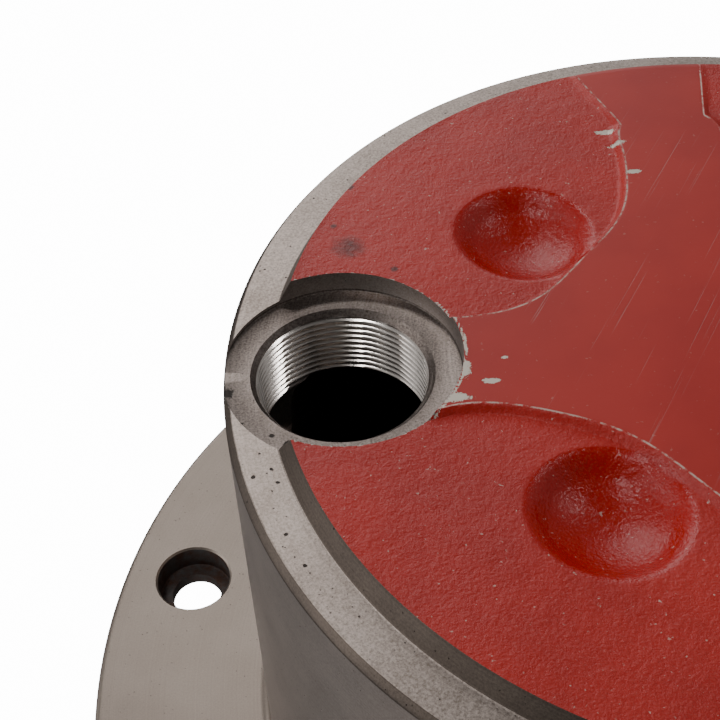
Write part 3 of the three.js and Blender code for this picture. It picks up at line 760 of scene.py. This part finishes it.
def rearHousing():
    piece = housingShell()
    tools = [portTool(), sideTool()]
    tools += [boltTool(x, y) for x, y in boltPlaces()]
    tools += [tapTool(x, y) for x, y in around(bodyScrew["circle"], bodyScrew["angles"])]
    combine(piece, together(tools))
    mesh = piece.data
    count = len(mesh.vertices)
    co = np.zeros(count * 3)
    mesh.vertices.foreach_get("co", co)
    x, y = co.reshape(-1, 3).T[:2] / mm
    for name, values in (("pocketEdge", pocketDistance(x, y)), ("bowl", bowlDistance(x, y)),
                         ("chips", chipMap(x, y)), ("soot", sootMap(x, y))):
        layer = mesh.attributes.new(name, "FLOAT", "POINT")
        layer.data.foreach_set("value", values.astype(np.float32))
    finishes = (redPaint, ironRing, ironWall, ironFlange, ironDark, ironInside, rustyIron, darkWallPaintedShade,
                ironThread)
    mesh.materials.clear()
    for material in finishes:
        mesh.materials.append(material)

    centres = np.zeros(len(mesh.polygons) * 3)
    mesh.polygons.foreach_get("center", centres)
    cx, cy, cz = centres.reshape(-1, 3).T / mm
    r = np.hypot(cx, cy)
    fromPort = np.hypot(cx + port["distance"], cy)
    fromBolt = np.min([np.hypot(cx - x, cy - y) for x, y in boltPlaces()], axis=0)
    core, rim, spotZ = housing["coreRadius"], housing["hubRadius"], ringZ - port["faceDepth"]
    # a later zone lies over the ones before it; the small steps past an edge take in its rounding
    zones = (
        (ironWall, r >= 0),
        (redPaint, (r < core + 0.01) & (cz > coreZ - 12)),
        # painted shade: the dark iron on the shoulder inside the ring and, two lines down, on the outer rim
        # chamfer
        (darkWallPaintedShade, (r > core - 0.1) & (cz > ringZ - 0.02)),
        (ironRing, (r > housing["ringInner"]) & (cz > ringZ - 2)),
        (darkWallPaintedShade, (r > rim - housing["rimChamfer"] + 0.1) & (r < rim) & (cz < ringZ - 0.2)
         & (cz > ringZ - 2)),
        (ironFlange, r > rim + 0.05),
        (ironDark, (fromPort < port["faceRadius"] + 0.05) & (cz > endWallZ - 13) & (r < rim - 0.15)),
        (ironWall, (np.abs(fromPort - port["faceRadius"]) < 0.1) & (cz > spotZ + 0.6) & (r < rim + 1)),
        (ironThread, (fromPort < port["chamferRadius"]) & (cz > endWallZ - 1) & (cz < spotZ - 1.7)),
        (ironInside, (r < housing["cylinderRadius"] + 0.1) & (cz < endWallZ + 0.1)),
        (rustyIron, (fromBolt < flangeBolt["head"] + 0.05) & (cz < flangeTop - 0.3) & (r > rim + 5)
         & (cz > flangeBottom + 0.5)),
    )
    index = np.zeros(len(cx), np.int32)
    for material, where in zones:
        index[where] = finishes.index(material)
    mesh.polygons.foreach_set("material_index", index)
    shaded(piece, 30)
    return placed(piece, "housing", "painted_housing", "rear_housing")


print("rear housing")
rearHousing()


# Chuck body and everything on the jaw side

body = {
    "radius": 114.0,
    "frontWall": 12.0,
    "chamber": 51.0,          # round chamber for the wedge sleeve
    "ledge": 24.0,
    "coverRecess": 36.4,
    "recessDepth": 5.0,
    "bore": 5.3,
    "sinkRadius": 9.0,
    "sinkDepth": 11.0,
    "sinkLead": 0.6,
    "rings": (56.0, 72.0, 88.0, 106.0),   # reference rings scribed on the front face
    "ringDepth": 0.35,
    "ringHalf": 0.4,
    "grooveInset": 6.0,       # two shallow grooves round the rim
    "grooveDepth": 0.7,
    "grooveHalf": 0.9,
    "bevel": 0.5,
    "sides": 288,
}
guide = {"neck": 16.3, "head": 24.3, "headBottom": 64.0, "headTop": 84.3, "neckInner": 20.0,
         "headInner": 30.0, "hookOuter": 88.0, "hookTop": 100.3}
frontScrew = {"circle": 29.0, "radius": 2.5, "head": 4.25, "headHeight": 2.8, "length": 9.0, "socket": 1.8,
              "pitch": 0.8, "sinkRadius": 4.7, "sinkDepth": 3.2, "play": 0.3}
capScrewSize = {"head": 8.0, "headHeight": 10.0, "radius": 5.0, "socket": 4.6, "pitch": 1.5, "thread": 24.0}

bodyLow, bodyHigh = nodeBox("chuck_body")
coverLow, coverHigh = nodeBox("front_cover")


def capScrew(name, size, length):
    # hexagon-socket screw standing on its head from z = 0, knurled round the head
    r, head, tall = size["radius"], size["head"], size["headHeight"]
    sides = 96
    knurl = head - 0.035 * head * (np.arange(sides) % 2)
    top = tall + length
    threadStart = max(top - size.get("thread", length), tall + 0.8)
    rings = [(0, 0), (head * 0.88, 0), (head * 0.97, tall * 0.04), (knurl, tall * 0.12), (knurl, tall * 0.86),
             (head * 0.98, tall * 0.94), (head * 0.95, tall), (r * 1.08, tall), (r, tall + 0.08 * r)]
    depth = 0.55 * size["pitch"]
    rings += [(r, threadStart - 0.4)]
    rings += threadRings(r - depth, depth, size["pitch"], threadStart, top - depth, sides, 6)
    rings += [(r - depth - 0.1, top), (0, top)]
    piece = meshObject(name, *revolve(rings, sides))
    deep, key = 0.55 * tall, size["socket"]
    socket = revolve([(0, -past), (key, -past), (key, deep), (0, deep + 0.3 * key)], 6)
    lead = revolve([(0, -past), (key + 0.6, -past), (key - 0.4, 0.5), (0, 0.5)], 48)
    combine(combine(piece, socket), lead)
    piece.data.materials.append(blackOxide)
    return shaded(piece, 35)


def copied(piece, name, x=0.0, y=0.0, z=0.0, turn=0.0):
    copy = bpy.data.objects.new(name, piece.data.copy())
    shift = Matrix.Translation((x * mm, y * mm, z * mm))
    copy.data.transform(Matrix.Rotation(math.radians(turn), 4, "Z") @ shift)
    bpy.context.scene.collection.objects.link(copy)
    return copy


def chuckBody():
    # a turned disc, bored for the wedge sleeve and the cover, with a T guide for each jaw
    front, back, rim = bodyLow[2], bodyHigh[2], body["radius"]
    rings = [(0, front)]
    half = body["ringHalf"]
    for r in body["rings"]:
        rings += [(r - half, front), (r, front + body["ringDepth"]), (r + half, front)]
    rings += [(rim - 2.0, front), (rim - 0.4, front + 0.7), (rim, front + 2.0)]
    low, half = rim - body["grooveDepth"], body["grooveHalf"]
    for z in (front + body["grooveInset"], back - body["grooveInset"]):
        rings += [(rim, z - half), (low, z - half + 0.4), (low, z + half - 0.4), (rim, z + half)]
    rings += [(rim, back - 1.2), (rim - 0.3, back - 0.4), (rim - 1.2, back), (0, back)]
    piece = meshObject("chuck_body_machined", *revolve(rings, body["sides"]))
    under, over = front - 2 * past, back + 2 * past
    chamber, recess = front + body["frontWall"], front + body["recessDepth"]
    wide, seat, ledge = body["chamber"], body["coverRecess"], body["ledge"]
    combine(piece, revolve([(0, chamber), (wide, chamber), (wide, over), (0, over)], 144))
    combine(piece, revolve([(0, under), (seat, under), (seat, recess), (ledge, recess),
                            (ledge, chamber + 2 * past), (0, chamber + 2 * past)], 144))
    end = rim + 2 * past
    for turn in quarters:
        for slot in (block(guide["neckInner"], end, guide["neck"], under, guide["headBottom"] + 2 * past),
                     block(guide["headInner"], end, guide["head"], guide["headBottom"], guide["headTop"]),
                     block(guide["headInner"], guide["hookOuter"], guide["neck"], guide["headTop"] - 2 * past,
                           guide["hookTop"])):
            combine(piece, moved(slot, turn=turn))
    holes = []
    sink = front + body["sinkDepth"]
    for x, y in around(bodyScrew["circle"], bodyScrew["angles"]):
        wide, lead = body["sinkRadius"], body["sinkLead"]
        rings = [(0, under), (wide + lead, under), (wide + lead, front), (wide, front + lead), (wide, sink),
                 (body["bore"], sink), (body["bore"], over), (0, over)]
        holes.append(revolve(rings, 48, at=(x, y)))
    for x, y in around(frontScrew["circle"], (45,)):
        r = frontScrew["radius"] + 0.2
        start, stop = recess - 4 * past, chamber + 2 * past
        holes.append(revolve([(0, start), (r, start), (r, stop), (0, stop)], 24, at=(x, y)))
    combine(piece, together(holes))
    softened(piece, body["bevel"], 2, 40)
    piece.data.materials.clear()
    piece.data.materials.append(machinedIron)
    return placed(shaded(piece, 35), "housing", "turned_iron", "chuck_body")


cover = {"dish": 9.0, "dishDepth": 0.5, "scribeInset": 7.6, "scribeDepth": 0.3, "scribeHalf": 0.4,
         "edge": 0.4, "countersink": 0.3}


def frontCover():
    # a turned disc with a shallow dish in the middle and one scribed ring
    low, high, rim = coverLow[2], coverHigh[2], coverHigh[0]
    dish, sunk, edge = cover["dish"], low + cover["dishDepth"], cover["edge"]
    scribe, half = rim - cover["scribeInset"], cover["scribeHalf"]
    rings = [(0, sunk), (dish, sunk), (dish + 1.0, low), (scribe - half, low),
             (scribe, low + cover["scribeDepth"]), (scribe + half, low), (rim - 3 * edge, low),
             (rim - 0.75 * edge, low + edge), (rim, low + 3 * edge), (rim, high - edge), (rim - edge, high),
             (0, high)]
    piece = meshObject("front_cover_turned", *revolve(rings, 144))
    sink = low + frontScrew["sinkDepth"]
    holes = []
    for x, y in around(frontScrew["circle"], (45,)):
        wide, lead = frontScrew["sinkRadius"], cover["countersink"]
        bore = frontScrew["radius"] + frontScrew["play"]
        rings = [(0, low - past), (wide + lead, low - past), (wide + lead, low), (wide, low + lead),
                 (wide, sink), (bore, sink), (bore, high + past), (0, high + past)]
        holes.append(revolve(rings, 48, at=(x, y)))
    combine(piece, together(holes))
    piece.data.materials.append(brightSteel)
    return placed(shaded(piece, 30), "housing", "bright_steel", "front_cover")


def housingScrews():
    for name, size, circle, angles in (("body_screw", capScrewSize, bodyScrew["circle"], bodyScrew["angles"]),
                                       ("front_cover_screw", frontScrew, frontScrew["circle"], (45,))):
        low, high = nodeBox(f"{name}_1")
        screw = capScrew(name, size, size.get("length", high[2] - low[2] - size["headHeight"]))
        for i, (x, y) in enumerate(around(circle, angles), 1):
            piece = copied(screw, f"{name}_{i}_socket", x, y, low[2])
            placed(piece, "housing", "black_screws", f"{name}_{i}")
        bpy.data.objects.remove(screw)


plug = {"shank": 6.5, "pitch": 1.5, "corner": 9.8, "washerInner": 6.8, "washerOuter": 10.5}


def sidePlug():
    # the plug and its washer are made about Z and then laid along +X
    shift = Matrix.Translation((0, 0, flangeBottom + sidePort["height"]))
    toSide = shift @ Matrix.Rotation(math.radians(90), 4, "Y")
    low, high = nodeBox("side_port_plug")
    washerLow, washerHigh = nodeBox("side_port_washer")
    seat = washerHigh[0] + 0.3
    corner, top = plug["corner"], high[0]
    head = revolve([(0, seat), (corner, seat), (corner, top), (0, top)], 6)
    piece = meshObject("side_port_plug_hexagon", *head)
    flat = corner * math.cos(math.radians(30))
    turned = [(0, seat - past), (flat * 0.97, seat - past), (flat * 0.97, seat), (corner + 0.2, seat + 1.0),
              (corner + 0.2, top - 1.4), (flat * 0.94, top), (0, top)]
    combine(piece, revolve(turned, 96), "INTERSECT")
    depth = 0.55 * plug["pitch"]
    rings = [(0, low[0]), (plug["shank"] - depth, low[0])]
    rings += threadRings(plug["shank"] - depth, depth, plug["pitch"], low[0] + depth, seat - 1.2, 72, 8)
    rings += [(plug["shank"] - depth, seat - 1.0), (plug["shank"] - depth, seat + 1), (0, seat + 1)]
    combine(piece, revolve(rings, 72), "UNION")
    piece.data.transform(Matrix.Scale(mm, 4) @ toSide @ Matrix.Scale(1 / mm, 4))
    piece.data.materials.append(brightSteel)
    placed(shaded(piece, 30), "housing", "bright_steel", "side_port_plug")

    inner, outer = plug["washerInner"], plug["washerOuter"]
    a, b = washerLow[0], washerHigh[0]
    rings = [(inner, a + 0.2), (inner + 0.2, a), (outer - 0.4, a), (outer, a + 0.4), (outer, b - 0.4),
             (outer - 0.4, b), (inner + 0.2, b), (inner, b - 0.2)]
    washer = meshObject("side_port_washer_turned", *revolve(rings, 96, closed=True))
    washer.data.transform(Matrix.Scale(mm, 4) @ toSide @ Matrix.Scale(1 / mm, 4))
    washer.data.materials.append(bronze)
    placed(shaded(washer, 40), "housing", "bronze", "side_port_washer")


jaw = {
    "inner": 62.0, "outer": 106.0, "hookInner": 33.0, "hookThickness": 6.0, "hookMiddle": 90.0, "slope": 0.36,
    "hookHead": 13.0, "hookNeck": 7.0, "hookBottom": 80.0, "hookTop": 100.0, "hookBack": 18.0,
    "neck": 16.0, "head": 24.0, "headBottom": 64.3, "headTop": 83.7, "front": 42.0,
    "slotNeck": 7.0, "slotHead": 11.0, "slotHeadBottom": 50.0, "slotTop": 60.0,
    "serration": 1.5, "serrationDepth": 0.6, "bevel": 0.6,
}
topJaw = {
    "inner": 44.0, "outer": 104.0, "halfWidth": 19.0, "nose": 9.0, "noseLength": 9.0, "back": 41.7,
    "steps": ((61.0, 24.0), (81.5, 12.0)), "screws": (71.0, 92.5), "sinkRadius": 9.2, "seat": 28.0,
    "bore": 6.4, "grip": 2.0, "gripDepth": 0.6, "heel": 2.0, "bevel": 0.8,
}
jawScrewSize = {"head": 8.6, "headHeight": 12.0, "radius": 6.0, "socket": 5.75, "pitch": 1.75, "thread": 22.0}
teeNut = {"inner": 62.5, "outer": 101.5, "neck": 6.7, "head": 10.7, "bottom": 42.3, "headBottom": 50.3,
          "top": 59.7, "bore": 6.3, "bevel": 0.4}


def leaning(inner, outer, low, high):
    # the hook leans outwards as it rises
    lean = [jaw["slope"] * (z - jaw["hookMiddle"]) for z in (low, high)]
    outerLow, outerHigh = (outer, outer) if outer > jaw["inner"] else (outer + lean[0], outer + lean[1])
    return [(inner + lean[0], low), (outerLow, low), (outerHigh, high), (inner + lean[1], high)]


def comb(start, end, pitch, depth, level, outside):
    # teeth as an outline: a zigzag from start to end that dips from level, closed on the outside
    count = int((end - start) / pitch)
    points = []
    for i in range(count):
        x = start + i * pitch
        points += [(x, level), (x + pitch / 2, level + depth)]
    return points + [(start + count * pitch, level), (start + count * pitch, outside), (start, outside)]


def masterJaw():
    # a T that slides in the guide, a T slot for the nut in front, and a leaning hook in the wedge sleeve
    inner, outer, front, top = jaw["inner"], jaw["outer"], jaw["front"], jaw["headTop"]
    start, end = inner - past, outer + past
    slotHead, slotTop, hookLow, hookHigh = jaw["slotHead"], jaw["slotTop"], jaw["hookBottom"], jaw["hookTop"]
    piece = meshObject("master_jaw", *block(inner, outer, jaw["neck"], front, jaw["headBottom"] + past))
    combine(piece, block(inner, outer, jaw["head"], jaw["headBottom"], top), "UNION")
    combine(piece, block(inner, inner + jaw["hookBack"], jaw["neck"], top - past, hookHigh), "UNION")
    combine(piece, block(start, end, jaw["slotNeck"], front - past, slotTop - past))
    combine(piece, block(start, end, slotHead, jaw["slotHeadBottom"], slotTop))
    flat = jaw["hookInner"] + jaw["hookThickness"]
    neck = leaning(flat - past, inner + past, hookLow, hookHigh)
    combine(piece, sidePlate(neck, jaw["hookNeck"]), "UNION")
    hook = leaning(jaw["hookInner"], flat, hookLow, hookHigh)
    combine(piece, sidePlate(hook, jaw["hookHead"]), "UNION")
    softened(piece, jaw["bevel"], 2, 40)
    teeth = comb(inner + 0.5, outer - 0.5, jaw["serration"], jaw["serrationDepth"], front - 0.02, front - 3)
    combine(piece, sidePlate(teeth, jaw["neck"] + past))
    piece.data.materials.clear()
    piece.data.materials.append(groundSteel)
    return shaded(piece, 30)


def steppedJaw():
    # three gripping steps, a narrow nose, and two sunk screws
    (firstX, firstZ), (secondX, secondZ) = topJaw["steps"]
    inner, outer, back, heel = topJaw["inner"], topJaw["outer"], topJaw["back"], topJaw["heel"]
    side = [(inner, firstZ), (firstX, firstZ), (firstX, secondZ), (secondX, secondZ), (secondX, 0),
            (outer - heel, 0), (outer, heel), (outer, back), (inner, back)]
    piece = meshObject("top_jaw", *sidePlate(side, topJaw["halfWidth"]))
    shoulder, half, nose = inner + topJaw["noseLength"], topJaw["halfWidth"], topJaw["nose"]
    plan = [(inner, -nose), (shoulder, -half), (outer + past, -half), (outer + past, half), (shoulder, half),
            (inner, nose)]
    combine(piece, plate(plan, -past, back + past), "INTERSECT")
    softened(piece, topJaw["bevel"], 3, 30)
    wide, seat, bore = topJaw["sinkRadius"], topJaw["seat"], topJaw["bore"]
    hole = [(0, -2 * past), (wide, -2 * past), (wide, seat), (bore, seat), (bore, back + past),
            (0, back + past)]
    combine(piece, together([revolve(hole, 64, at=(x, 0)) for x in topJaw["screws"]]))
    # sharp upright teeth on the faces that grip, and the fine serration of the back
    faces = ((inner, firstZ + 1.2, back - 1.5, nose - 1), (firstX, secondZ + 0.2, firstZ - 1.2, half - 2),
             (secondX, 0.2, secondZ - 1.2, half - 2))
    for x, low, high, reach in faces:
        teeth = comb(-reach, reach, topJaw["grip"], topJaw["gripDepth"], x - 0.05, x - 1.5)
        combine(piece, plate([(y, z) for z, y in teeth], low, high))
    teeth = comb(inner + 0.8, outer - 0.6, jaw["serration"], -jaw["serrationDepth"], back + 0.02, back + 2)
    combine(piece, sidePlate(teeth, half + past))
    piece.data.materials.clear()
    piece.data.materials.append(groundSteel)
    return shaded(piece, 30)


def teeNutPiece():
    # one nut for both screws of a jaw, sliding in the master jaw's slot
    inner, outer, top = teeNut["inner"], teeNut["outer"], teeNut["top"]
    piece = meshObject("tee_nut", *block(inner, outer, teeNut["neck"], teeNut["bottom"], top - past))
    combine(piece, block(inner, outer, teeNut["head"], teeNut["headBottom"], top), "UNION")
    softened(piece, teeNut["bevel"], 2, 40)
    low, high = teeNut["bottom"] - 2 * past, top + 2 * past
    hole = [(0, low), (teeNut["bore"], low), (teeNut["bore"], high), (0, high)]
    combine(piece, together([revolve(hole, 48, at=(x, 0)) for x in topJaw["screws"]]))
    piece.data.materials.clear()
    piece.data.materials.append(groundSteel)
    return shaded(piece, 30)


def jawSets():
    shapes = {"master_jaw": masterJaw(), "top_jaw": steppedJaw(), "tee_nut": teeNutPiece()}
    low, high = nodeBox("jaw_screw_1a")
    screw = capScrew("jaw_screw", jawScrewSize, high[2] - low[2] - jawScrewSize["headHeight"])
    for number, turn in enumerate(quarters, 1):
        rides = f"jaw_{number}"
        for name, shape in shapes.items():
            node = f"{name}_{number}"
            placed(copied(shape, f"{node}_ground", turn=turn), rides, "hardened_steel", node)
        for letter, x in zip("ab", topJaw["screws"]):
            piece = copied(screw, f"jaw_screw_{number}{letter}_socket", x, 0.0, low[2], turn)
            placed(piece, rides, "black_screws", f"jaw_screw_{number}{letter}")
    for piece in (*shapes.values(), screw):
        bpy.data.objects.remove(piece)


def finishInside():
    # the pieces inside the housing keep their CAD meshes
    finishes = {"piston": machinedIron, "cylinder_cover": machinedIron, "piston_rod": brightSteel,
                "rod_nut": brightSteel, "wedge_nut": brightSteel, "wedge_sleeve": groundSteel,
                "rod_bushing": bronze, "piston_seal": nitrile, "rod_seal": nitrile, "cover_o_ring": nitrile,
                "piston_wear_ring": wearTape}
    finishes.update({f"cylinder_cover_screw_{i}": blackOxide for i in range(1, 5)})
    for node, material in finishes.items():
        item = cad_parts[node]
        item.data.materials.clear()
        item.data.materials.append(material)


print("jaw side")
chuckBody()
frontCover()
housingScrews()
sidePlug()
jawSets()
finishInside()


# Floor, light and camera

# lens in millimetres, angles in degrees, distance and target in millimetres from the ring's level
view = {"lens": 68.1, "elevation": 45.52, "roll": -2.84, "distance": 271.8, "target": (-77.65, 1.99, 0.0)}
light = {
    "floor": 14.0,            # glow of the floor
    "floorSize": 30,          # metres
    "base": 0.06,             # glow of the whole room
    "distance": 0.9,          # from the ring to each softbox, in metres
    # each wall of the white room: direction, how sharply it falls off, brightness
    "walls": (((-0.15, 0.9, 0.42), 14.0, 3.9), ((-1, -0.1, 0.22), 9.0, 4.0), ((1, 0.1, 0.2), 4.0, 0.45),
              ((0.1, -0.7, -0.7), 1.5, 0.6)),
    # softboxes: direction, width and height in metres, watts
    "boxes": (("backBox", (-0.24, 0.56, 0.78), (0.2, 0.1), 0.9),
              ("topBox", (-0.34, -0.2, 0.9), (0.18, 0.12), 2.1),
              ("rightBox", (0.57, 0.13, 0.8), (0.12, 0.1), 1.0)),
}


def studio():
    # the floor lies half a millimetre under the jaws
    bpy.ops.mesh.primitive_plane_add(size=light["floorSize"], location=(0, 0, -0.5 * mm))
    floor = bpy.context.object
    floor.name = "studio_floor"
    material, tree = newMaterial("white studio floor")[:2]
    shader = add(tree, "BsdfPrincipled", {"Base Color": (0.9, 0.9, 0.9, 1), "Roughness": 0.9,
                                          "Emission Color": (1, 1, 1, 1),
                                          "Emission Strength": light["floor"]})
    add(tree, "OutputMaterial", {"Surface": shader})
    floor.data.materials.append(material)
    floor.visible_diffuse = False    # the glowing floor is a backdrop and doesn't light the chuck
    floor.visible_glossy = False

    world = bpy.data.worlds.new("white room")
    world.use_nodes = True
    tree = world.node_tree
    tree.nodes.clear()
    way = add(tree, "TexCoord", out="Generated")
    total = light["base"]
    for towards, power, strength in light["walls"]:
        facing = add(tree, "VectorMath", [way, Vector(towards).normalized()], out="Value",
                     operation="DOT_PRODUCT")
        facing = add(tree, "Math", [facing, 0.0], operation="MAXIMUM")
        glow = add(tree, "Math", [facing, power], operation="POWER")
        total = add(tree, "Math", [glow, strength, total], operation="MULTIPLY_ADD")
    sky = add(tree, "Background", {"Color": (1, 1, 1, 1), "Strength": total})
    add(tree, "OutputWorld", {"Surface": sky})
    bpy.context.scene.world = world

    centre = Vector((0, 0, ringZ * mm))
    for name, towards, size, power in light["boxes"]:
        lamp = bpy.data.lights.new(name, "AREA")
        lamp.shape = "RECTANGLE"
        lamp.size, lamp.size_y = size
        lamp.energy = power
        item = bpy.data.objects.new(name, lamp)
        item.location = centre + Vector(towards).normalized() * light["distance"]
        item.rotation_euler = Vector(towards).to_track_quat("Z", "Y").to_euler()
        bpy.context.scene.collection.objects.link(item)


def camera():
    data = bpy.data.cameras.new("camera")
    data.sensor_width = 36
    data.lens = view["lens"]
    data.clip_start = 0.01
    data.clip_end = 50
    elevation, roll = math.radians(view["elevation"]), math.radians(view["roll"])
    back = Vector((0, -math.cos(elevation), math.sin(elevation)))
    level, rise = Vector((1, 0, 0)), Vector((0, math.sin(elevation), math.cos(elevation)))
    right = math.cos(roll) * level + math.sin(roll) * rise
    up = -math.sin(roll) * level + math.cos(roll) * rise
    target = Vector(view["target"]) + Vector((0, 0, ringZ))
    stand = Matrix((right, up, back)).transposed().to_4x4()
    stand.translation = (target + back * view["distance"]) * mm
    item = bpy.data.objects.new("camera", data)
    item.matrix_world = stand
    bpy.context.scene.collection.objects.link(item)
    bpy.context.scene.camera = item


print("studio")
studio()
camera()
